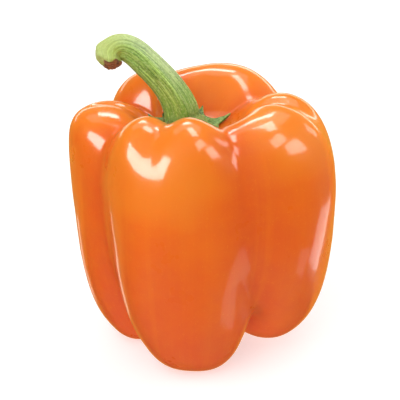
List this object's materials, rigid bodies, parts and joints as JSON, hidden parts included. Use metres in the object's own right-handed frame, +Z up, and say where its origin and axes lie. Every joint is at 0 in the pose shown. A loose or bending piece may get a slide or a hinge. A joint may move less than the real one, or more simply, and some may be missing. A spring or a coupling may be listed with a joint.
{
  "type": "bell pepper",
  "caption": "Blocky orange bell pepper with rounded lobes round a hollow top, a toothed green calyx and a thick, curved green stem.",
  "frame": {"origin": "on the resting plane, under the middle of the object's box", "axes": "+Z up; -Y towards the broad lobe that the picture shows from the front; +X to the picture's right, away from the side that the stem leans to"},
  "size_m": [0.0884, 0.0872, 0.1089],
  "materials": {
    "skin": "smooth and waxy",
    "green_stem": "matt, ribbed along its length"
  },
  "bodies": {
    "root": {"fruit": "skin", "stem_with_calyx": "green_stem"}
  },
  "joints": []
}
